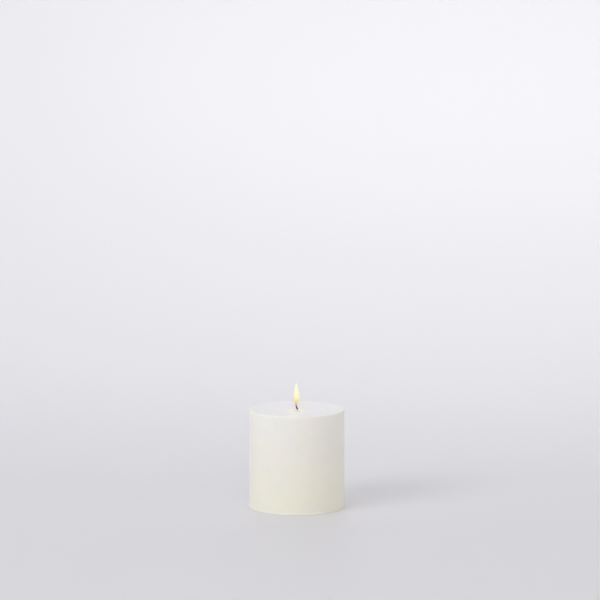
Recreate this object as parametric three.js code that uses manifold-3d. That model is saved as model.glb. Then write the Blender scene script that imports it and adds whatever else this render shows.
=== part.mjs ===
// A lit ivory pillar candle of the nominal 3 x 3 inch size, in millimetres, +Z up.
// The origin is the centre of the flat base, and the wick runs up the Z axis.
import * as THREE from "three";
import { mergeVertices } from "three/addons/utils/BufferGeometryUtils.js";
import Module from "manifold-3d";

// Driving dimensions.
const HEIGHT = 76.2; // base to the crest of the rim
const BODY_R = 36.9; // straight part of the side
const FOOT_FLARE = 0.6; // how far the softened base edge spreads
const FOOT_HEIGHT = 3.6;
const FOOT_LIFT = 0.3; // the foot is widest here, just above the base
const FOOT_EDGE = 0.2; // how far the base edge is rounded in
const FOOT_STEPS = 4;
const COAT = 1.4; // hard outer wax, on the side
const COAT_TOP = 2.1; // the same coat where it drained back over the top
const COAT_CORNER = 1; // slope inside the coat, where its side meets its top
const RIM_R = 0.7; // rounding of the top edge
const RIM_SWEEP = 110; // degrees, from the side, over the crest, to the slope inside
const RIM_STEPS = 6;
const DISH = 0.75; // how far the top sinks below the rim
const POOL_R = 7; // molten wax round the wick
const POOL_DEPTH = 0.85;
const FIT_GAP = 0.1; // between pieces that touch
const WICK_BORE_R = 1.2;
const POOL_HOLE_R = 1.45; // where the wick stands in the pool

const WELL_R = 13; // shrink well in the base of the core, filled by the second pour
const WELL_TIP_R = 5;
const WELL_HEIGHT = 14;

const TAB_R = 9; // wick sustainer: a stamped disc with a neck that grips the wick
const TAB_BOTTOM = 0.35;
const TAB_SHEET = 0.3;
const NECK_R = 1.45;
const NECK_TOP = 7;
const FLARE_HEIGHT = 0.9; // the neck's root spreads into the disc
const FLARE_CLEAR_R = 1.2; // the room that the second pour leaves for that root
const FLARE_CLEAR_HEIGHT = 1.1;

const STRAND_D = 0.56; // one of the three strands of the flat-braided wick
const BRAID_WIDE = 0.68; // side-to-side swing of a strand, along Y
const BRAID_THICK = 0.42; // front-to-back swing of a strand
const BRAID_PITCH = 8;
const STRAND_SIDES = 6;
const STRAND_STEP = 0.75;

const FLAME_FOOT = HEIGHT + 4.2;
const FLAME_HEIGHT = 17.2; // from the foot, round the top of the wick, to the tip
const FLAME_POCKET_R = 1.3; // room for the wick inside the flame
const POCKET_STRETCH = 1.08; // the pocket ends a little above the wick
const POCKET_SIDES = 12;

const ROUND = 72; // facets of the large round pieces
const SMALL_ROUND = 40;

// Heights that several pieces share.
const dishZ = HEIGHT - DISH;
const coatUnderside = dishZ - COAT_TOP;
const poolFloor = dishZ - POOL_DEPTH;
const poolSurface = dishZ - 0.2;
const coreR = BODY_R - COAT - FIT_GAP;
const coreTop = coatUnderside - FIT_GAP;
const tabTop = TAB_BOTTOM + TAB_SHEET;

// The slope from the rim down to the dish: [in from the side, above the dish].
const rimSlope = [
  [3.2, 0.25],
  [6, 0.08],
];

// The wall of the bowl round the wick: [in from the bowl's edge, below the dish].
const bowlEdge = [
  [-1.5, 0],
  [0, 0.12],
];
const bowlWall = [
  [1.6, 0.55],
  [3.5, 0.75],
];

const wasm = await Module();
wasm.setup();

// A closed (radius, height) outline turned round the Z axis.
function revolve(outline, segments) {
  const points = [...outline, outline[0]].map(([r, z]) => new THREE.Vector2(r, z));
  return new THREE.LatheGeometry(points, segments).rotateX(Math.PI / 2);
}

// Points on an arc in the (radius, height) plane, angles in degrees.
function arc(r, z, radius, from, to, count) {
  return Array.from({ length: count + 1 }, (_, i) => {
    const a = THREE.MathUtils.degToRad(from + ((to - from) * i) / count);
    return [r + radius * Math.cos(a), z + radius * Math.sin(a)];
  });
}

function solidOf(geometry) {
  const bare = new THREE.BufferGeometry().setAttribute("position", geometry.getAttribute("position"));
  if (geometry.index) bare.setIndex(geometry.index);
  const merged = mergeVertices(bare, 1e-4);
  const mesh = new wasm.Mesh({
    numProp: 3,
    vertProperties: new Float32Array(merged.attributes.position.array),
    triVerts: new Uint32Array(merged.index.array),
  });
  return new wasm.Manifold(mesh);
}

function geometryOf(solid) {
  const mesh = solid.getMesh();
  const geometry = new THREE.BufferGeometry();
  geometry.setAttribute("position", new THREE.BufferAttribute(mesh.vertProperties, 3));
  geometry.setIndex(new THREE.BufferAttribute(mesh.triVerts, 1));
  geometry.computeVertexNormals();
  return geometry;
}

// A rod of constant round section along a curve.
function rod(curve, radius, sides, steps) {
  const section = new THREE.Shape().absarc(0, 0, radius, 0, 2 * Math.PI);
  return new THREE.ExtrudeGeometry(section, {
    steps,
    curveSegments: sides / 2, // a full circle gets twice this many
    bevelEnabled: false,
    extrudePath: curve,
  });
}

// The hard wax coat: a shell over the side and the top, open at the base, with the wick hole
// and the shallow bowl that the flame has melted round the wick.
function outerCoat() {
  const innerR = BODY_R - COAT;
  const foot = Array.from({ length: FOOT_STEPS + 1 }, (_, i) => {
    const share = i / FOOT_STEPS;
    return [BODY_R + FOOT_FLARE * (1 - share) ** 2, FOOT_LIFT + (FOOT_HEIGHT - FOOT_LIFT) * share];
  });
  foot.unshift([BODY_R + FOOT_FLARE - FOOT_EDGE, 0]);
  const rim = arc(BODY_R - RIM_R, HEIGHT - RIM_R, RIM_R, 0, RIM_SWEEP, RIM_STEPS);
  const top = [
    ...rimSlope.map(([inward, up]) => [BODY_R - inward, dishZ + up]),
    ...[...bowlEdge, ...bowlWall].map(([inward, down]) => [POOL_R - inward, dishZ - down]),
    [WICK_BORE_R, poolFloor],
  ];
  const inside = [
    [WICK_BORE_R, coatUnderside],
    [innerR - COAT_CORNER, coatUnderside],
    [innerR, coatUnderside - COAT_CORNER],
    [innerR, 0],
  ];
  return revolve([...foot, ...rim, ...top, ...inside], ROUND);
}

// Radius of the shrink well at a height above the base.
const wellR = (z) => THREE.MathUtils.lerp(WELL_R, WELL_TIP_R, z / WELL_HEIGHT);

// The softer wax of the first pour, with the wick bore and the well that shrinkage leaves.
function waxCore() {
  return revolve(
    [
      [wellR(0), 0],
      [coreR, 0],
      [coreR, coreTop - COAT_CORNER],
      [coreR - COAT_CORNER, coreTop],
      [WICK_BORE_R, coreTop],
      [WICK_BORE_R, WELL_HEIGHT],
      [wellR(WELL_HEIGHT), WELL_HEIGHT],
    ],
    ROUND,
  );
}

// The second pour, which fills the well and seals the sustainer in a shallow recess.
function baseFill() {
  const bottom = 2 * FIT_GAP; // a wax plug sinks a little as it sets
  const top = WELL_HEIGHT - FIT_GAP;
  const slack = 1.5 * FIT_GAP; // measured along the radius, since the wall slopes
  return revolve(
    [
      [TAB_R + FIT_GAP, bottom],
      [wellR(bottom) - slack, bottom],
      [wellR(top) - slack, top],
      [WICK_BORE_R, top],
      [WICK_BORE_R, NECK_TOP + FIT_GAP],
      [NECK_R + FIT_GAP, NECK_TOP + FIT_GAP],
      [NECK_R + FIT_GAP, tabTop + FLARE_CLEAR_HEIGHT],
      [NECK_R + FLARE_CLEAR_R, tabTop + FIT_GAP],
      [TAB_R + FIT_GAP, tabTop + FIT_GAP],
    ],
    ROUND,
  );
}

function wickSustainer() {
  const innerR = WICK_BORE_R - FIT_GAP / 2;
  return revolve(
    [
      [innerR, TAB_BOTTOM],
      [TAB_R, TAB_BOTTOM],
      [TAB_R, tabTop],
      [NECK_R + FLARE_HEIGHT, tabTop],
      [NECK_R + 0.28 * FLARE_HEIGHT, tabTop + FLARE_HEIGHT / 3],
      [NECK_R, tabTop + FLARE_HEIGHT],
      [NECK_R, NECK_TOP],
      [innerR, NECK_TOP],
    ],
    SMALL_ROUND,
  );
}

// Molten wax in the bowl, with its flat surface a little below the dish.
function meltPool() {
  const skin = 1.2 * FIT_GAP;
  const wall = bowlWall.map(([inward, down]) => [POOL_R - inward, dishZ - down + skin]);
  return revolve(
    [
      [POOL_HOLE_R, poolFloor + skin],
      ...wall.reverse(),
      [POOL_R - 0.7, poolSurface],
      [POOL_HOLE_R, poolSurface],
    ],
    SMALL_ROUND,
  );
}

// The line that the middle of the wick follows: straight up the axis through the wax, then a lean to
// one side where the burning end curls. [sideways, height above the wax]
const wickCurl = [
  [0.3, 0],
  [0.75, 1.2],
  [0.5, 2.6],
  [-0.05, 4.1],
  [-0.55, 5.6],
  [-0.7, 7.3],
];
const wickLine = new THREE.CatmullRomCurve3([
  ...[TAB_BOTTOM + 0.1, 25, 50, 70, 73.5].map((z) => new THREE.Vector3(0, 0, z)),
  ...wickCurl.map(([x, up]) => new THREE.Vector3(x, 0, poolSurface + up)),
]);

// One strand of a three-strand flat plait: it swings once across the width, along Y, and twice through
// the thickness in each pitch.
class BraidStrand extends THREE.Curve {
  constructor(line, phase) {
    super();
    this.line = line;
    this.phase = phase;
    this.turns = line.getLength() / BRAID_PITCH;
  }

  getPoint(t, target = new THREE.Vector3()) {
    const angle = 2 * Math.PI * this.turns * t + this.phase;
    const across = new THREE.Vector3(0, 1, 0);
    const through = this.line.getTangentAt(t).cross(across).normalize();
    return target
      .copy(this.line.getPointAt(t))
      .addScaledVector(across, BRAID_WIDE * Math.sin(angle))
      .addScaledVector(through, BRAID_THICK * Math.sin(2 * angle));
  }
}

function wickStrand(index) {
  const curve = new BraidStrand(wickLine, (2 * Math.PI * index) / 3);
  const steps = Math.round(wickLine.getLength() / STRAND_STEP);
  return rod(curve, STRAND_D / 2, STRAND_SIDES, steps);
}

// Sideways place of the middle of the flame, at a share of its height.
const flameLean = (share) => -0.5 - 1.3 * share + 1.7 * share ** 2;

// The luminous part of the flame: a teardrop round the tip of the wick, leaning as the wick does low
// down and coming back over the middle at its tip.
function flame() {
  // [share of the height, radius]
  const profile = [
    [0, 1.6],
    [0.05, 2.05],
    [0.12, 2.35],
    [0.24, 2.6],
    [0.36, 2.55],
    [0.5, 2.25],
    [0.62, 1.95],
    [0.75, 1.55],
    [0.87, 1.02],
    [0.95, 0.52],
    [1, 0],
  ];
  const outline = [[0, FLAME_FOOT], ...profile.map(([share, r]) => [r, FLAME_FOOT + share * FLAME_HEIGHT])];
  const teardrop = revolve(outline, SMALL_ROUND);
  const at = teardrop.getAttribute("position");
  for (let i = 0; i < at.count; i++) {
    const share = (at.getZ(i) - FLAME_FOOT) / FLAME_HEIGHT;
    at.setX(i, at.getX(i) + flameLean(share));
  }
  const pocketLine = new THREE.CatmullRomCurve3(
    wickCurl.slice(2).map(([x, up]) => new THREE.Vector3(x, 0, poolSurface + POCKET_STRETCH * up)),
  );
  const pocket = rod(pocketLine, FLAME_POCKET_R, POCKET_SIDES, 8);
  return geometryOf(solidOf(teardrop).subtract(solidOf(pocket)));
}

const WAX = { color: 0xf1eede, roughness: 0.42, metalness: 0 };
const CORE_WAX = { color: 0xf3efdc, roughness: 0.55, metalness: 0 };
const MOLTEN_WAX = { color: 0xf0ead0, roughness: 0.06, metalness: 0, transparent: true, opacity: 0.6 };
const COTTON = { color: 0x4a4238, roughness: 0.95, metalness: 0 };
const TINPLATE = { color: 0xb9bcc0, roughness: 0.35, metalness: 0.9 };
const FLAME = {
  color: 0xffe9a8,
  emissive: 0xffdc8c,
  emissiveIntensity: 1,
  roughness: 1,
  metalness: 0,
  transparent: true,
  opacity: 0.7,
};

const candle = new THREE.Group();

function add(name, geometry, look) {
  const mesh = new THREE.Mesh(geometry, new THREE.MeshStandardMaterial(look));
  mesh.name = name;
  candle.add(mesh);
}

add("outer_coat", outerCoat(), WAX);
add("wax_core", waxCore(), CORE_WAX);
add("base_fill", baseFill(), CORE_WAX);
add("melt_pool", meltPool(), MOLTEN_WAX);
add("wick_sustainer", wickSustainer(), TINPLATE);
for (let i = 0; i < 3; i++) {
  add(`wick_strand_${i + 1}`, wickStrand(i), COTTON);
}
add("flame", flame(), FLAME);

export default candle;
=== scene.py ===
import math
import random

import bpy
import numpy as np
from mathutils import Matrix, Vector, noise


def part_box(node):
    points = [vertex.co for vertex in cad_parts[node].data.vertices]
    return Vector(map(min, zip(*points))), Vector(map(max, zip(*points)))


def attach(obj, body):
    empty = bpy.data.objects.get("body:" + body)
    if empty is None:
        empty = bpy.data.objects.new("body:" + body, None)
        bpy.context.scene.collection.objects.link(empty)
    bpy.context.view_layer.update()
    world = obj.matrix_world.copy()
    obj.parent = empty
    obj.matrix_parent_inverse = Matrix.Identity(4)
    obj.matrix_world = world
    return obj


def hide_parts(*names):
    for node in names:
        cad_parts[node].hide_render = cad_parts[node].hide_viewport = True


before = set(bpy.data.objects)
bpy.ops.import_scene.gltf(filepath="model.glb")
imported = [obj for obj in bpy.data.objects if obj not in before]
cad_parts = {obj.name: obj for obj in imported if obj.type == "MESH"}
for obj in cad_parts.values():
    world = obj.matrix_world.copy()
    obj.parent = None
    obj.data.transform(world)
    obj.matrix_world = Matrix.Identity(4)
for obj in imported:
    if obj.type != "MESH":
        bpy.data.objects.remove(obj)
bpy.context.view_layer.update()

MM = 0.001

# ---------------------------------------------------------------- sizes, from the frame and the real candle

coat_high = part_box("outer_coat")[1]
core_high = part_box("wax_core")[1]
pool_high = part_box("melt_pool")[1]
wick_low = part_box("wick_strand_1")[0]
flame_low, flame_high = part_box("flame")

HEIGHT = coat_high.z / MM  # base to the crest of the rim
FOOT_R = coat_high.x / MM
FOOT_FLARE = 0.6  # how far the softened base edge spreads
FOOT_HEIGHT = 3.6
FOOT_LIFT = 0.3  # the foot is widest here, just above the base
FOOT_EDGE = 0.22  # how far the base edge is rounded in
BODY_R = FOOT_R - FOOT_FLARE
RIM_R = 0.7
RIM_SWEEP = 110  # degrees, from the side, over the crest, to the slope inside
DISH = 0.75  # how far the top sinks below the rim
DISH_Z = HEIGHT - DISH
POCKET_R = core_high.x / MM + 0.1  # shallow pocket in the base, round the core
POCKET_DEPTH = 0.5
BORE_R = 1.2
BOWL_R = 7.0  # edge of the bowl that the flame has melted
BOWL_DEPTH = 0.85
POOL_Z = pool_high.z / MM
COAT_SEGMENTS = 288

STRAND_R = 0.30  # one of the three strands of the plait
BRAID_WIDE = 0.54  # swing of a strand along Y
BRAID_THICK = 0.34  # swing of a strand through the plait
BRAID_PITCH = 5.4
YARNS = 5  # in each strand
YARN_R = 0.125
YARN_PITCH = 2.2
YARN_SIDES = 7
HAIRS = 9  # loose fibres on each strand, where the wick stands in the open
HAIR_R = 0.022
HAIR_SIDES = 4

FLAME_UNDERLAP = 1.9  # the glow starts this far below the CAD flame, down round the wick
FLAME_FOOT = flame_low.z / MM - FLAME_UNDERLAP
FLAME_HEIGHT = flame_high.z / MM - FLAME_FOOT
FLAME_R = 2.45
FLAME_SIDES = 40
FLAME_SHELLS = 11
SHELL_LARGEST = 1.06  # size of the outermost skin, as a share of the flame's outline
SHELL_SPREAD = 0.80  # how much smaller the innermost one is
SHELL_THIN = 0.07  # how much an outer skin hides and glows
SHELL_THICKER = 0.27  # how much more an inner one does
FLAME_COLOUR = (1.0, 0.68, 0.36)  # of the light that it casts


# ---------------------------------------------------------------- mesh helpers

def smoothstep(low, high, x):
    """0 below low, 1 above high, smooth between them. Works on arrays."""
    t = np.clip((x - low) / (high - low), 0, 1)
    return t * t * (3 - 2 * t)


def catmull(points, count):
    """count + 1 points on a smooth curve through these points, evenly spread over its spans."""
    pts = np.array(points, float)
    pts = np.vstack([2 * pts[0] - pts[1], pts, 2 * pts[-1] - pts[-2]])
    spans = len(pts) - 3
    out = []
    for i in range(count + 1):
        u = spans * i / count
        k = min(int(u), spans - 1)
        t = u - k
        a, b, c, d = pts[k:k + 4]
        out.append(0.5 * (2 * b + (c - a) * t + (2 * a - 5 * b + 4 * c - d) * t * t
                          + (3 * b - a - 3 * c + d) * t ** 3))
    return np.array(out)


def arc(r, z, radius, start, end, count):
    """Points on an arc in the (radius, height) plane, angles in degrees."""
    a = np.radians(np.linspace(start, end, count + 1))
    return np.column_stack([r + radius * np.cos(a), z + radius * np.sin(a)])


def line(a, b, count):
    """count + 1 points from a to b."""
    return np.linspace(a, b, count + 1)


def field(x, y, z, wavelength, seed):
    """Smooth noise from about -1 to 1 at arrays of points in millimetres."""
    flat = zip(np.ravel(x / wavelength), np.ravel(y / wavelength), np.ravel(z / wavelength))
    shift = Vector((seed * 17.3, seed * 5.1, seed * 9.7))
    return np.array([noise.noise(Vector(p) + shift) for p in flat]).reshape(np.shape(x)) * 1.6


def grid_faces(rings, segments, ring_wrap=False, flip=False):
    """Quads of a grid that closes round its segments, and from its last ring to its first with ring_wrap."""
    last = rings if ring_wrap else rings - 1
    faces = []
    for i in range(last):
        for j in range(segments):
            a = i * segments + j
            b = i * segments + (j + 1) % segments
            c = ((i + 1) % rings) * segments + (j + 1) % segments
            d = ((i + 1) % rings) * segments + j
            faces.append((a, d, c, b) if flip else (a, b, c, d))
    return faces


def make_piece(name, verts_mm, faces, material, replaced=()):
    """A smooth mesh piece that rides on the candle's one body."""
    mesh = bpy.data.meshes.new(name)
    mesh.from_pydata((np.asarray(verts_mm) * MM).tolist(), [], faces)
    mesh.update()
    mesh.polygons.foreach_set("use_smooth", [True] * len(mesh.polygons))
    mesh.materials.append(material)
    piece = bpy.data.objects.new(name, mesh)
    bpy.context.scene.collection.objects.link(piece)
    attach(piece, "root")
    if replaced:
        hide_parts(*replaced)
    return piece


# ---------------------------------------------------------------- material helpers

class Shader:
    """A material's node tree, with one short call for each kind of node."""

    def __init__(self, name):
        self.material = bpy.data.materials.new(name)
        self.material.use_nodes = True
        self.nodes = self.material.node_tree.nodes
        self.links = self.material.node_tree.links
        self.nodes.clear()
        self.output = self.nodes.new("ShaderNodeOutputMaterial")
        self.place = self.nodes.new("ShaderNodeTexCoord").outputs["Object"]

    def put(self, socket, value):
        """Links a socket to another, or sets its plain value."""
        if isinstance(value, bpy.types.NodeSocket):
            self.links.new(value, socket)
        elif value is not None:
            socket.default_value = value

    def noise(self, wavelength, detail=2.0, rough=0.5, stretch=(1, 1, 1), seed=0.0, distortion=0.0):
        """Noise from 0 to 1 with this wavelength in millimetres, longer along an axis with a big stretch."""
        mapping = self.nodes.new("ShaderNodeMapping")
        self.links.new(self.place, mapping.inputs["Vector"])
        mapping.inputs["Scale"].default_value = [1000 / wavelength / s for s in stretch]
        mapping.inputs["Location"].default_value = (seed, seed * 0.7, seed * 1.3)
        node = self.nodes.new("ShaderNodeTexNoise")
        self.links.new(mapping.outputs[0], node.inputs["Vector"])
        node.inputs["Scale"].default_value = 1.0
        node.inputs["Detail"].default_value = detail
        node.inputs["Roughness"].default_value = rough
        node.inputs["Distortion"].default_value = distortion
        return node.outputs[0]

    def cells(self, spacing, seed=0.0):
        """Distance to the nearest of scattered points, in units of their spacing in millimetres."""
        mapping = self.nodes.new("ShaderNodeMapping")
        self.links.new(self.place, mapping.inputs["Vector"])
        mapping.inputs["Scale"].default_value = [1000 / spacing] * 3
        mapping.inputs["Location"].default_value = (seed, seed, seed)
        node = self.nodes.new("ShaderNodeTexVoronoi")
        self.links.new(mapping.outputs[0], node.inputs["Vector"])
        node.inputs["Scale"].default_value = 1.0
        return node.outputs["Distance"]

    def math(self, operation, a, b=None, c=None):
        node = self.nodes.new("ShaderNodeMath")
        node.operation = operation
        for socket, value in zip(node.inputs, (a, b, c)):
            self.put(socket, value)
        return node.outputs[0]

    def between(self, value, low, high, out_low=0.0, out_high=1.0):
        """value from low to high becomes out_low to out_high, smoothly and clamped."""
        node = self.nodes.new("ShaderNodeMapRange")
        node.interpolation_type = "SMOOTHSTEP"
        self.put(node.inputs["Value"], value)
        for name, number in zip(("From Min", "From Max", "To Min", "To Max"), (low, high, out_low, out_high)):
            node.inputs[name].default_value = number
        return node.outputs[0]

    def blend(self, share, a, b):
        """Colour a where share is 0 and b where it is 1."""
        node = self.nodes.new("ShaderNodeMix")
        node.data_type = "RGBA"
        self.put(node.inputs[0], share)
        for socket, value in ((node.inputs[6], a), (node.inputs[7], b)):
            self.put(socket, value if isinstance(value, bpy.types.NodeSocket) else (*value, 1.0))
        return node.outputs[2]

    def ramp(self, value, stops):
        """A colour ramp: stops are (position, (r, g, b))."""
        node = self.nodes.new("ShaderNodeValToRGB")
        self.put(node.inputs[0], value)
        elements = node.color_ramp.elements
        while len(elements) < len(stops):
            elements.new(0.5)
        for element, (position, colour) in zip(elements, stops):
            element.position = position
            element.color = (*colour, 1.0)
        return node.outputs[0]

    def axis(self, name):
        """One coordinate of the point, in millimetres."""
        split = self.nodes.new("ShaderNodeSeparateXYZ")
        self.links.new(self.place, split.inputs[0])
        return self.math("MULTIPLY", split.outputs[name], 1000.0)

    def from_axis(self):
        """Distance from the Z axis, in millimetres."""
        x, y = self.axis("X"), self.axis("Y")
        return self.math("SQRT", self.math("ADD", self.math("MULTIPLY", x, x), self.math("MULTIPLY", y, y)))

    def bump(self, height, depth, normal=None):
        """Relief: height from 0 to 1 stands for depth millimetres."""
        node = self.nodes.new("ShaderNodeBump")
        node.inputs["Strength"].default_value = 1.0
        node.inputs["Distance"].default_value = depth * MM
        self.put(node.inputs["Height"], height)
        self.put(node.inputs["Normal"], normal)
        return node.outputs[0]

    def principled(self, **values):
        """The surface shader; names use _ for the spaces in Blender's socket names."""
        node = self.nodes.new("ShaderNodeBsdfPrincipled")
        for name, value in values.items():
            self.put(node.inputs[name.replace("_", " ")], value)
        self.links.new(node.outputs[0], self.output.inputs["Surface"])
        return node


# ---------------------------------------------------------------- wax

def wax_colour(shader, pale, deep, seed):
    """Ivory that varies a little, in cloudy patches with a finer grain in them."""
    cloud = shader.noise(14, detail=3, seed=seed)
    grain = shader.noise(1.1, detail=2, seed=seed + 3)
    share = shader.math("MULTIPLY_ADD", grain, 0.25, shader.math("MULTIPLY", cloud, 0.75))
    return shader.blend(shader.between(share, 0.3, 0.7), pale, deep)


def coat_wax():
    """Hard outer wax: satin on the dipped side, glossier on the top that has melted and set again."""
    s = Shader("coat_wax")
    height, radius = s.axis("Z"), s.from_axis()
    on_top = s.math("MULTIPLY", s.between(height, DISH_Z - 0.9, DISH_Z - 0.1),
                    s.between(radius, BODY_R - 0.2, BODY_R - 0.9))
    near_pool = s.between(radius, 13.0, 7.5)

    colour = wax_colour(s, (0.938, 0.922, 0.867), (0.92, 0.90, 0.835), 2)
    run = s.noise(5, detail=2, stretch=(1, 1, 9), seed=5)
    colour = s.blend(s.between(run, 0.35, 0.75, 0.0, 0.10), colour, (0.88, 0.85, 0.76))
    # Darker and yellower towards the foot: partly the wax's own colour, partly painted shade of the lower
    # side.
    colour = s.blend(s.between(height, 70.0, 4.0, 0.0, 0.8), colour, (0.905, 0.88, 0.745))
    # Painted shade: the upper side and the rim darker, to damp the highlight that the rim catches.
    colour = s.blend(s.between(height, 68.0, 75.0, 0.0, 0.8), colour, (0.885, 0.874, 0.83))
    # Painted light: the top whiter and cooler, as the pale surround lights it from above and is reflected in
    # it.
    colour = s.blend(s.math("MULTIPLY", on_top, 0.85), colour, (0.93, 0.925, 0.94))
    colour = s.blend(s.math("MULTIPLY", near_pool, 0.35), colour, (0.92, 0.89, 0.78))
    flecks = s.between(s.cells(2.4, seed=7), 0.15, 0.65, 0.0, 0.22)
    colour = s.blend(s.math("MULTIPLY", flecks, s.noise(9, detail=2, seed=14)), colour, (0.84, 0.82, 0.76))

    smear = s.noise(7, detail=3, stretch=(1, 1, 2), seed=8)
    near_rim = s.between(height, 70.0, 75.0, 0.0, 0.2)
    side_rough = s.math("ADD", s.between(smear, 0.3, 0.7, 0.36, 0.50), near_rim)
    top_rough = s.between(s.noise(6, detail=3, seed=11), 0.3, 0.7, 0.29, 0.36)
    rough_mix = s.nodes.new("ShaderNodeMix")
    s.put(rough_mix.inputs[0], on_top)
    s.put(rough_mix.inputs[2], side_rough)
    s.put(rough_mix.inputs[3], top_rough)

    calm = s.math("MULTIPLY_ADD", on_top, -0.85, 1.0)
    dimple = s.bump(s.math("MULTIPLY", calm, s.noise(2.6, detail=2, seed=1)), 0.012)
    skin = s.bump(s.math("MULTIPLY", calm, s.noise(0.5, detail=3, rough=0.6, seed=4)), 0.003, dimple)
    pits = s.bump(s.math("MULTIPLY", calm, s.between(s.cells(5.0, seed=6), 0.03, 0.08)), 0.015, skin)

    s.principled(
        Base_Color=colour,
        Roughness=rough_mix.outputs[0],
        IOR=1.44,
        Subsurface_Weight=s.between(height, 0.1, 4.0, 0.0, 1.0),
        Subsurface_Radius=(1.0, 0.85, 0.65),
        Subsurface_Scale=4 * MM,
        Normal=pits,
    )
    return s.material


def inner_wax(name, pale, deep, seed):
    """Softer wax, seen only on the base, where a hot plate has levelled it."""
    s = Shader(name)
    swirl = s.noise(6, detail=3, seed=seed, distortion=1.2)
    s.principled(
        Base_Color=wax_colour(s, pale, deep, seed),
        Roughness=s.between(swirl, 0.3, 0.7, 0.30, 0.52),
        IOR=1.44,
        Normal=s.bump(swirl, 0.03),
    )
    return s.material


def molten_wax():
    """Liquid wax, mirror smooth, and darker where it is deep because less light comes back from under it."""
    s = Shader("molten_wax")
    shallow = s.between(s.from_axis(), 2.5, BOWL_R - 0.4)
    deep = wax_colour(s, (0.845, 0.815, 0.74), (0.815, 0.78, 0.695), 21)
    s.principled(
        Base_Color=s.blend(shallow, deep, (0.915, 0.90, 0.85)),
        Roughness=0.03,
        IOR=1.43,
        Normal=s.bump(s.noise(3.5, detail=1, seed=22), 0.006),
    )
    return s.material


def coat_profile():
    """The outline of the coat, as (radius, height) from the bore at the bottom, out along the base, up the
    side, over the rim and back to the bore. The wax is drawn in one depth, down to a shallow pocket in the
    base that the core stands in, so that light scatters through it as through the real candle."""
    foot_z = np.concatenate([[0.06, 0.16], np.linspace(FOOT_LIFT, FOOT_HEIGHT, 14)])
    share = np.clip((foot_z - FOOT_LIFT) / (FOOT_HEIGHT - FOOT_LIFT), 0, 1)
    foot_r = BODY_R + FOOT_FLARE * (1 - share) ** 2
    foot_r[:2] -= [0.1, 0.03]
    rim = arc(BODY_R - RIM_R, HEIGHT - RIM_R, RIM_R, 0, RIM_SWEEP, 14)
    lip = rim[-1]
    inner_rim = catmull([lip, (BODY_R - 2.2, DISH_Z + 0.47), (BODY_R - 3.2, DISH_Z + 0.25),
                         (BODY_R - 4.6, DISH_Z + 0.13), (BODY_R - 6.5, DISH_Z + 0.07)], 22)
    dish = line((BODY_R - 6.5, DISH_Z + 0.07), (BOWL_R + 3.0, DISH_Z), 28)
    bowl = catmull([(BOWL_R + 3.0, DISH_Z), (BOWL_R + 1.5, DISH_Z + 0.02), (BOWL_R + 0.6, DISH_Z - 0.02),
                    (BOWL_R, DISH_Z - 0.12), (BOWL_R - 0.8, DISH_Z - 0.33), (BOWL_R - 1.6, DISH_Z - 0.55),
                    (BOWL_R - 3.5, DISH_Z - 0.75), (BORE_R, DISH_Z - BOWL_DEPTH)], 42)
    parts = [
        line((BORE_R, POCKET_DEPTH), (POCKET_R, POCKET_DEPTH), 12),
        line((POCKET_R, POCKET_DEPTH), (POCKET_R, 0.0), 3)[1:],
        line((POCKET_R, 0.0), (FOOT_R - FOOT_EDGE, 0.0), 3)[1:],
        np.column_stack([foot_r, foot_z]),
        line((BODY_R, FOOT_HEIGHT), (BODY_R, HEIGHT - RIM_R), 84)[1:-1],
        rim,
        inner_rim[1:],
        dish[1:],
        bowl[1:],
        line((BORE_R, DISH_Z - BOWL_DEPTH), (BORE_R, POCKET_DEPTH), 5)[1:-1],
    ]
    return np.concatenate(parts)


def make_coat():
    """The outer wax, turned from its outline and then made as uneven as a dipped and melted candle is."""
    profile = coat_profile()
    r, z = profile[:, 0][:, None], profile[:, 1][:, None]
    angle = np.linspace(0, 2 * np.pi, COAT_SEGMENTS, endpoint=False)[None, :]
    r, z, angle = np.broadcast_arrays(r, z, angle)
    x, y = r * np.cos(angle), r * np.sin(angle)

    side = smoothstep(POCKET_R + 0.5, BODY_R - 0.8, r) * smoothstep(0.0, 2.0, z)
    slow = 0.10 * field(x, y, z * 0.6, 32, 1)
    runs = 0.030 * field(x, y, z * 0.3, 8, 2)
    dents = 0.015 * field(x, y, z, 3.2, 3)
    foot = smoothstep(FOOT_HEIGHT, 0.6, z) * smoothstep(POCKET_R + 0.5, BODY_R, r)
    spread = foot * (0.20 * field(x, y, z * 0, 9, 4) + 0.05 * field(x, y, z * 0, 2.5, 5))

    top = smoothstep(DISH_Z - 1.0, DISH_Z - 0.3, z)
    rim = smoothstep(BODY_R - 6, BODY_R - 2, r) * top
    flat = top * (1 - rim) * smoothstep(BOWL_R, BOWL_R + 3, r)
    ripples = 0.03 * field(x, y, 0 * z, 13, 7) + 0.004 * field(x, y, 0 * z, 3.6, 8)
    lift = rim * 0.09 * field(x, y, 0 * z, 17, 6) + flat * ripples
    bowl = top * smoothstep(BOWL_R + 5, BOWL_R + 1, r) * smoothstep(1.5, 4.0, r)
    outline = bowl * 0.7 * field(np.cos(angle) * 6, np.sin(angle) * 6, 0 * z, 8.5, 9)

    grown = r + side * (slow + runs + dents) + spread + outline
    verts = np.stack([grown * np.cos(angle), grown * np.sin(angle), z + lift], axis=-1)
    faces = grid_faces(len(profile), COAT_SEGMENTS, ring_wrap=True)
    return make_piece("outer_coat_wax", verts.reshape(-1, 3), faces, coat_wax(), ["outer_coat"])


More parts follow.
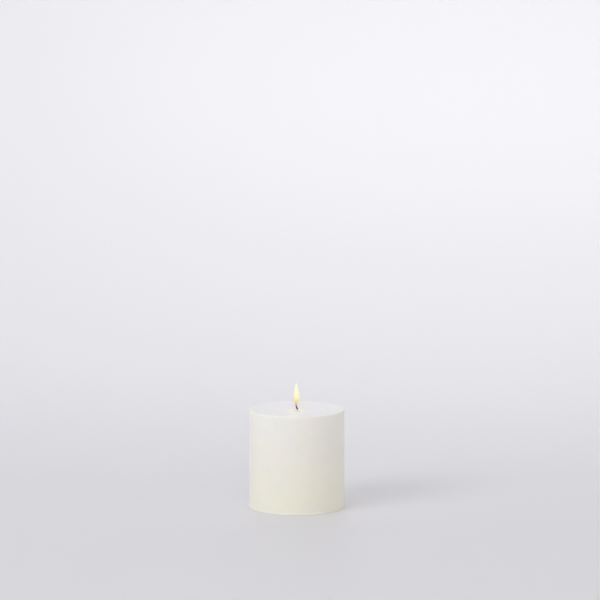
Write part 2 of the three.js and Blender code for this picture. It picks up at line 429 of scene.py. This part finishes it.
def make_pool():
    """Liquid wax: a flat surface that creeps up a little at the wick and at the bowl's wall."""
    hole_x, hole_r = 0.6, 0.75
    rings_r = np.concatenate([np.linspace(0, 1, 15) ** 1.5 * 1.6, np.linspace(1.9, BOWL_R + 0.2, 26)])
    span = BOWL_R + 0.2
    creep_at_wick = 0.28 * np.exp(-rings_r / 0.45)
    creep_at_wall = 0.12 * smoothstep(BOWL_R - 1.2, BOWL_R, rings_r)
    surface = POOL_Z + creep_at_wick + creep_at_wall
    bottom = POOL_Z - 0.62 * (1 - smoothstep(3.0, span, rings_r)) - 0.02
    r = np.concatenate([rings_r, rings_r[::-1]])[:, None]
    z = np.concatenate([surface, bottom[::-1]])[:, None]
    segments = 96
    angle = np.linspace(0, 2 * np.pi, segments, endpoint=False)[None, :]
    share = r / span
    x = hole_x * (1 - share) + (hole_r + (span - hole_r) * share) * np.cos(angle)
    y = (hole_r + (span - hole_r) * share) * np.sin(angle)
    verts = np.stack(np.broadcast_arrays(x, y, z), axis=-1)
    faces = grid_faces(len(r), segments, ring_wrap=True, flip=True)
    verts = verts.reshape(-1, 3)
    return make_piece("melt_pool_liquid", verts, faces, molten_wax(), ["melt_pool"])


# ---------------------------------------------------------------- wick

# Sideways place of the wick, at a height above the pool. It leaves the axis just under the pool, and below
# that it runs straight down.
WICK_CURL = [(0.60, -0.5), (0.78, 0.2), (0.38, 1.0), (-0.08, 1.9), (-0.45, 3.2), (-0.62, 5.0), (-0.6, 6.9)]
WICK_STEP = 0.22


def wick_line():
    """Points up the middle of the wick, WICK_STEP apart, and the length of wick below each."""
    low = [(0, 0, z) for z in (wick_low.z / MM + 0.05, 25, 50, 70, 73.5)]
    curl = [(x, 0, POOL_Z + up) for x, up in WICK_CURL]
    rough = catmull(low + curl, 900)
    length = np.concatenate([[0], np.cumsum(np.linalg.norm(np.diff(rough, axis=0), axis=1))])
    even = np.linspace(0, length[-1], int(length[-1] / WICK_STEP))
    return np.column_stack([np.interp(even, length, rough[:, k]) for k in range(3)]), even


def frames_along(points):
    """Two directions square to a line that bends in the XZ plane, at each of its points."""
    tangent = np.gradient(points, axis=0)
    tangent /= np.linalg.norm(tangent, axis=1)[:, None]
    across = np.zeros_like(tangent)
    across[:, 1] = 1.0
    through = np.cross(tangent, across)
    through /= np.linalg.norm(through, axis=1)[:, None]
    return across, through


def tube(points, radii, sides):
    """Vertices and faces of a closed tube along points, with its own radius at each."""
    tangent = np.gradient(points, axis=0)
    tangent /= np.linalg.norm(tangent, axis=1)[:, None]
    helper = np.tile([0.0, 1.0, 0.0], (len(points), 1))
    u = np.cross(tangent, helper)
    u /= np.linalg.norm(u, axis=1)[:, None]
    v = np.cross(tangent, u)
    turn = np.linspace(0, 2 * np.pi, sides, endpoint=False)
    ring = u[:, None, :] * np.cos(turn)[None, :, None] + v[:, None, :] * np.sin(turn)[None, :, None]
    verts = points[:, None, :] + ring * radii[:, None, None]
    faces = grid_faces(len(points), sides)
    verts = verts.reshape(-1, 3)
    start, end = len(verts), len(verts) + 1
    verts = np.vstack([verts, points[0], points[-1]])
    last = (len(points) - 1) * sides
    for j in range(sides):
        faces.append((start, (j + 1) % sides, j))
        faces.append((end, last + j, last + (j + 1) % sides))
    return verts, faces


def join(parts):
    """Several (vertices, faces) as one."""
    verts, faces, base = [], [], 0
    for part_verts, part_faces in parts:
        verts.append(part_verts)
        faces.extend([tuple(i + base for i in f) for f in part_faces])
        base += len(part_verts)
    return np.vstack(verts), faces


def wick_cotton():
    """Cotton: waxed and pale in the candle, scorched at the pool, black above it, and glowing at the tip."""
    s = Shader("wick_cotton")
    up = s.math("ADD", s.axis("Z"), s.math("MULTIPLY_ADD", s.noise(0.9, detail=3, seed=31), 1.2, -0.6))
    burn = s.between(up, POOL_Z - 0.6, POOL_Z + 1.6)
    colour = s.ramp(burn, [(0.0, (0.62, 0.55, 0.42)), (0.35, (0.16, 0.105, 0.06)),
                           (0.75, (0.030, 0.021, 0.015)), (1.0, (0.024, 0.018, 0.014))])
    ash = s.between(s.noise(0.35, detail=4, seed=33), 0.56, 0.72, 0.0, 0.5)
    colour = s.blend(s.math("MULTIPLY", ash, burn), colour, (0.10, 0.095, 0.09))
    glow_at = s.between(up, POOL_Z + 5.0, POOL_Z + 7.0)
    cracks = s.between(s.noise(0.5, detail=3, seed=35), 0.35, 0.6)
    glow = s.ramp(glow_at, [(0.0, (0.0, 0.0, 0.0)), (0.35, (0.25, 0.03, 0.0)), (0.7, (1.0, 0.22, 0.03)),
                            (1.0, (1.0, 0.42, 0.10))])
    s.principled(
        Base_Color=colour,
        Roughness=s.between(burn, 0.0, 1.0, 0.45, 0.88),
        IOR=1.45,
        Emission_Color=s.blend(cracks, (0, 0, 0), glow),
        Emission_Strength=1.6,
        Normal=s.bump(s.noise(0.16, detail=3, rough=0.7, seed=36), 0.02),
    )
    return s.material


def yarn_tube(path, across, through, length, thin, strand, yarn, rng):
    """One lumpy yarn that twists round the path of its strand and thins out at its burnt end."""
    twist = 2 * np.pi * (length / YARN_PITCH + yarn / YARNS)
    wander = 0.02 * field(length, length * 0 + yarn, length * 0 + strand, 0.8, 12)
    out = (STRAND_R - YARN_R) * thin + wander
    points = path + across * (out * np.cos(twist))[:, None] + through * (out * np.sin(twist))[:, None]
    end = len(points) - rng.randint(0, 3)
    taper = 1 - 0.55 * smoothstep(length[end - 1] - 0.9, length[end - 1], length[:end])
    place = length[:end]
    lumps = 1 + 0.16 * field(place, place * 0 + 5 * yarn, place * 0 + strand, 0.5, 13)
    return tube(points[:end], YARN_R * taper * thin[:end] * lumps, YARN_SIDES)


def loose_hair(start, rng):
    """A fine bent fibre that sticks out of a strand at this point."""
    heading = np.array([rng.uniform(-1, 1), rng.uniform(-1, 1), rng.uniform(-0.2, 0.9)])
    heading /= np.linalg.norm(heading)
    bend = np.array([rng.uniform(-1, 1), rng.uniform(-1, 1), rng.uniform(0, 1)]) * 0.35
    reach = rng.uniform(0.35, 0.62)
    t = np.linspace(0, 1, 6)[:, None]
    hair = start + heading * t * reach + bend * t * t * reach
    return tube(hair, HAIR_R * (1.05 - t[:, 0] * 0.8), HAIR_SIDES)


def make_wick():
    """Three strands in a flat plait, each a twist of yarns, burnt thin and frayed at the top."""
    cotton = wick_cotton()
    centre, length = wick_line()
    across, through = frames_along(centre)
    turns = 2 * np.pi * length / BRAID_PITCH
    above = centre[:, 2] - POOL_Z
    thin = 1 - 0.25 * smoothstep(0.5, 7.0, above)
    shown = np.flatnonzero((above > 0.3) & (above < 7.0))
    rng = random.Random(5)
    for strand in range(3):
        phase = turns + 2 * np.pi * strand / 3
        path = (centre + across * (BRAID_WIDE * thin * np.sin(phase))[:, None]
                + through * (BRAID_THICK * thin * np.sin(2 * phase))[:, None])
        parts = [yarn_tube(path, across, through, length, thin, strand, yarn, rng) for yarn in range(YARNS)]
        parts += [loose_hair(path[rng.choice(list(shown))], rng) for _ in range(HAIRS)]
        verts, faces = join(parts)
        name = f"wick_strand_{strand + 1}"
        make_piece(f"{name}_yarns", verts, faces, cotton, [name])


# ---------------------------------------------------------------- flame

# (share of the height, share of the greatest radius)
FLAME_OUTLINE = [(0.0, 0.40), (0.03, 0.50), (0.08, 0.63), (0.14, 0.76), (0.20, 0.88), (0.26, 0.97),
                 (0.32, 1.0), (0.43, 0.97), (0.55, 0.89), (0.66, 0.79), (0.76, 0.63), (0.85, 0.46),
                 (0.92, 0.29), (0.97, 0.15), (1.0, 0.02)]


def flame_lean(share):
    """Sideways place of the middle of the flame, at a share of its height."""
    return -0.45 + 0.15 * share


def flame_glow():
    """Glowing gas: each nested skin adds a little light and hides a little of what is behind."""
    s = Shader("flame_glow")
    share = s.math("DIVIDE", s.math("SUBTRACT", s.axis("Z"), FLAME_FOOT), FLAME_HEIGHT)
    colour = s.ramp(share, [(0.0, (0.84, 0.74, 0.66)), (0.10, (0.86, 0.66, 0.47)), (0.18, (0.93, 0.65, 0.38)),
                            (0.25, (0.97, 0.77, 0.41)), (0.36, (0.99, 0.90, 0.53)), (0.52, (1.0, 0.96, 0.63)),
                            (1.0, (0.98, 0.91, 0.70))])
    rise = s.between(share, -0.05, 0.24)
    fade = s.between(share, 0.80, 1.0, 1.0, 0.35)
    shell = s.nodes.new("ShaderNodeAttribute")
    shell.attribute_name = "thickness"
    s.principled(
        Base_Color=(0, 0, 0, 1),
        Roughness=1.0,
        Specular_IOR_Level=0.0,
        Emission_Color=colour,
        Emission_Strength=1.02,
        Alpha=s.math("MULTIPLY", s.math("MULTIPLY", rise, fade), shell.outputs["Fac"]),
    )
    s.material.cycles.emission_sampling = "NONE"
    return s.material


def flame_skin(size, outline):
    """One closed skin of the flame, this much of its full width, with its ends drawn in a little."""
    angle = np.linspace(0, 2 * np.pi, FLAME_SIDES, endpoint=False)[None, :]
    foot = 0.05 * (1 - size)
    tip = 1 - 0.10 * (SHELL_LARGEST - size)
    share = (foot + (tip - foot) * outline[:, 0])[:, None]
    r = (outline[:, 1] * FLAME_R * size)[:, None]
    x = flame_lean(share) + r * np.cos(angle)
    y = r * np.sin(angle)
    z = FLAME_FOOT + share * FLAME_HEIGHT + 0 * angle
    rings = np.stack([x, y, z], axis=-1).reshape(-1, 3)
    foot_point = [flame_lean(share[0, 0]), 0, z[0, 0]]
    tip_point = [flame_lean(share[-1, 0]), 0, z[-1, 0]]
    faces = grid_faces(len(outline), FLAME_SIDES)
    base = len(rings)
    last = (len(outline) - 1) * FLAME_SIDES
    for j in range(FLAME_SIDES):
        faces.append((base, (j + 1) % FLAME_SIDES, j))
        faces.append((base + 1, last + j, last + (j + 1) % FLAME_SIDES))
    return np.vstack([rings, foot_point, tip_point]), faces


def flame_lamp(name, share, power, radius):
    """A small lamp inside the flame, at a share of its height: watts, and radius in millimetres."""
    glow = bpy.data.lights.new(name, "POINT")
    glow.energy = power
    glow.color = FLAME_COLOUR
    glow.shadow_soft_size = radius * MM
    lamp = bpy.data.objects.new(name, glow)
    lamp.location = Vector((flame_lean(share), 0, FLAME_FOOT + share * FLAME_HEIGHT)) * MM
    bpy.context.scene.collection.objects.link(lamp)


def make_flame():
    """Nested skins of gas that give the flame a soft edge, and the light that it throws on the wax."""
    outline = catmull(FLAME_OUTLINE, 60)
    parts, thickness = [], []
    for shell in range(FLAME_SHELLS):
        inward = shell / (FLAME_SHELLS - 1)
        skin = flame_skin(SHELL_LARGEST - SHELL_SPREAD * inward, outline)
        parts.append(skin)
        hides = SHELL_THIN + SHELL_THICKER * float(smoothstep(0.0, 0.6, inward))
        thickness += [hides] * len(skin[0])
    verts, faces = join(parts)
    gas = make_piece("flame_light", verts, faces, flame_glow(), ["flame"])
    gas.visible_shadow = False
    gas.data.attributes.new("thickness", "FLOAT", "POINT").data.foreach_set("value", thickness)
    flame_lamp("flame_lamp", 0.42, 0.0014, 2.0)
    flame_lamp("flame_foot_lamp", 0.13, 0.0005, 1.2)


# ---------------------------------------------------------------- metal

def tinplate():
    """Tin-coated steel sheet, with the fine grain of the rolls."""
    s = Shader("tinplate")
    rolled = s.noise(0.5, detail=3, stretch=(12, 1, 1), seed=41)
    s.principled(
        Base_Color=s.blend(s.between(rolled, 0.3, 0.7), (0.60, 0.61, 0.62), (0.70, 0.70, 0.69)),
        Metallic=1.0,
        Roughness=s.between(rolled, 0.3, 0.7, 0.24, 0.38),
        Normal=s.bump(rolled, 0.004),
    )
    return s.material


def dress(node, material):
    """Gives a CAD node that stays in view its material."""
    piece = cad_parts[node]
    piece.data.materials.clear()
    piece.data.materials.append(material)


# ---------------------------------------------------------------- studio

# A hair under the base, so that light which leaves the wax there comes back from the paper.
FLOOR_Z = -0.05 * MM

# Metres and degrees.
CAMERA_PLACE = (0.0025, -1.907, 0.397)
CAMERA_PITCH = 7.06


def sweep_line(flat, bend, top):
    """Points (along, up) in metres of paper that lies flat, then bends up into a wall."""
    turns = np.radians(np.linspace(3, 90, 30))
    curve = [(flat + bend * math.sin(a), bend * (1 - math.cos(a))) for a in turns]
    return [(flat, 0.0), *curve, (flat + bend, top)]


def make_sweep():
    """A pale paper sweep: flat under the candle, curving up close behind it and farther off at the sides."""
    depth = [(-4.0, 0.0)] + sweep_line(0.36, 0.62, 1.5)
    right = sweep_line(2.0, 0.9, 1.2)
    width = [(-x, up) for x, up in reversed(right)] + right
    verts = [(x, y, FLOOR_Z + math.hypot(up, side_up)) for y, up in depth for x, side_up in width]
    count = len(width)
    faces = [(k, k + 1, k + count + 1, k + count)
             for row in range(len(depth) - 1) for k in range(row * count, row * count + count - 1)]
    mesh = bpy.data.meshes.new("sweep")
    mesh.from_pydata(verts, [], faces)
    mesh.polygons.foreach_set("use_smooth", [True] * len(mesh.polygons))
    s = Shader("sweep_paper")
    s.principled(Base_Color=(0.80, 0.795, 0.82, 1), Roughness=0.45, IOR=1.45)
    mesh.materials.append(s.material)
    sweep = bpy.data.objects.new("sweep", mesh)
    bpy.context.scene.collection.objects.link(sweep)


def softbox(name, place, target, size, power, colour, spread=180):
    """A soft rectangular light, unseen by the camera: metres, watts, and degrees of spread."""
    light = bpy.data.lights.new(name, "AREA")
    light.shape = "RECTANGLE"
    light.size, light.size_y = size
    light.energy = power
    light.color = colour
    light.spread = math.radians(spread)
    lamp = bpy.data.objects.new(name, light)
    lamp.location = place
    lamp.rotation_euler = (Vector(target) - Vector(place)).to_track_quat("-Z", "Y").to_euler()
    lamp.visible_camera = False
    bpy.context.scene.collection.objects.link(lamp)


def make_studio():
    """Large key from the upper left, a wash on the paper behind, a cool fill from the front, a weak warm one
    from the right, and an even pale surround."""
    make_sweep()
    softbox("key", (-2.0, -1.75, 1.55), (0, 0, 0.03), (1.5, 1.5), 28.6, (1.0, 0.995, 0.99))
    softbox("wall_wash", (0.4, 0.5, 1.4), (0.3, 1.0, 0.40), (1.4, 0.4), 2.1, (0.98, 0.99, 1.0), 95)
    softbox("front_fill", (0.9, -3.2, 1.6), (0, 0.2, 0.1), (1.8, 1.4), 10.9, (0.95, 0.975, 1.0))
    softbox("right_fill", (1.9, -0.9, 0.8), (0, 0.0, 0.05), (1.0, 1.0), 3.9, (1.0, 0.88, 0.62))
    world = bpy.data.worlds.new("studio")
    world.use_nodes = True
    world.node_tree.nodes["Background"].inputs["Color"].default_value = (0.97, 0.97, 1.0, 1)
    world.node_tree.nodes["Background"].inputs["Strength"].default_value = 0.571
    bpy.context.scene.world = world


def make_camera():
    """A long lens, 1.9 m in front of the candle and 0.4 m up."""
    lens = bpy.data.cameras.new("camera")
    lens.sensor_width = 36
    lens.lens = 150
    camera = bpy.data.objects.new("camera", lens)
    camera.location = CAMERA_PLACE
    camera.rotation_euler = (math.radians(90 - CAMERA_PITCH), 0, 0)
    bpy.context.scene.collection.objects.link(camera)
    bpy.context.scene.camera = camera
    bpy.context.scene.view_settings.view_transform = "Standard"
    bpy.context.scene.cycles.transparent_max_bounces = 4 * FLAME_SHELLS


make_camera()
make_studio()
make_coat()
make_pool()
make_wick()
make_flame()
dress("wax_core", inner_wax("core_wax", (0.93, 0.91, 0.84), (0.90, 0.875, 0.79), 51))
dress("base_fill", inner_wax("fill_wax", (0.92, 0.895, 0.81), (0.89, 0.86, 0.76), 57))
dress("wick_sustainer", tinplate())
